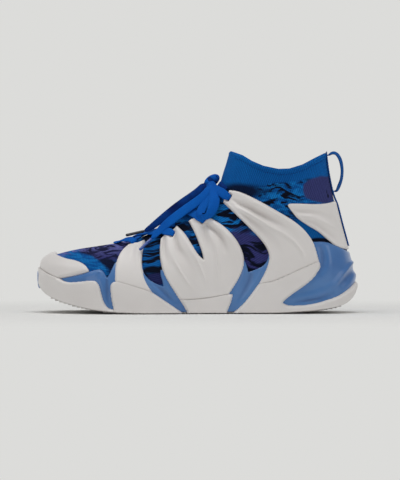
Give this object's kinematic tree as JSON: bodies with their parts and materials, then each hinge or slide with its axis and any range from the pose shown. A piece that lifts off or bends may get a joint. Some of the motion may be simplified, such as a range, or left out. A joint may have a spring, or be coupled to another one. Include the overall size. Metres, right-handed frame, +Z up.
{
  "type": "basketball high top",
  "caption": "Left basketball shoe with a knit ankle bootie, blue side cage, pleated white side panels, flat laces tied in a bow and a heel pull loop.",
  "frame": {"origin": "middle of the shoe's box on the floor it stands on", "axes": "+X from the toe to the heel, -Y to the outer (lateral) side of this left shoe, +Z up"},
  "size_m": [0.3051, 0.1123, 0.154],
  "materials": {
    "outsole_rubber": "matte moulded rubber",
    "foam": "matte foam",
    "board": "woven board",
    "stiffener": "matte",
    "shank": "satin",
    "insole": "brushed cloth over foam",
    "white_shell": "smooth satin",
    "cage_blue": "satin",
    "knit": "patterned knit",
    "lining": "soft knit over foam",
    "webbing": "woven webbing",
    "lace": "flat woven lace",
    "aglet": "gloss"
  },
  "bodies": {
    "shoe": {"outsole": "outsole_rubber", "midsole_core": "foam", "strobel_board": "board", "heel_counter": "stiffener", "toe_puff": "stiffener", "shank_plate": "shank", "insole": "insole", "toe_cap": "white_shell", "toe_sidewall": "white_shell", "rear_sidewall": "white_shell", "forefoot_strap_lateral": "white_shell", "forefoot_strap_medial": "white_shell", "forefoot_sidewall_lateral": "white_shell", "forefoot_sidewall_medial": "white_shell", "midfoot_wing_lateral": "white_shell", "midfoot_wing_medial": "white_shell", "midfoot_sidewall_lateral": "white_shell", "midfoot_sidewall_medial": "white_shell", "quarter_blade_lateral": "white_shell", "quarter_blade_medial": "white_shell", "heel_wing_lateral": "white_shell", "heel_wing_medial": "white_shell", "cage_lateral": "cage_blue", "cage_medial": "cage_blue", "heel_cup": "cage_blue", "toe_insert": "cage_blue", "knit_bootie": "knit", "collar_padding": "lining", "heel_strip": "webbing", "lace_front_bar": "lace", "lace_1_to_lateral": "lace", "lace_1_to_medial": "lace", "lace_2_to_lateral": "lace", "lace_2_to_medial": "lace", "lace_3_to_lateral": "lace", "lace_3_to_medial": "lace", "lace_top_lateral": "lace", "lace_top_medial": "lace", "lace_knot": "lace", "bow_loop_lateral": "lace", "bow_loop_medial": "lace", "lace_tail_lateral": "lace", "lace_tail_medial": "lace", "aglet_lateral": "aglet", "aglet_medial": "aglet"},
    "pull_loop": {"pull_loop": "webbing"}
  },
  "joints": [
    {"name": "pull_loop_swing", "type": "hinge", "parent": "shoe", "child": "pull_loop", "pos_m": [0.12796, -0.00242, 0.13281], "axis": [-0.165, 0, 0.9863], "range_deg": [-40, 40], "stiffness_Nm_per_rad": 0.004}
  ]
}
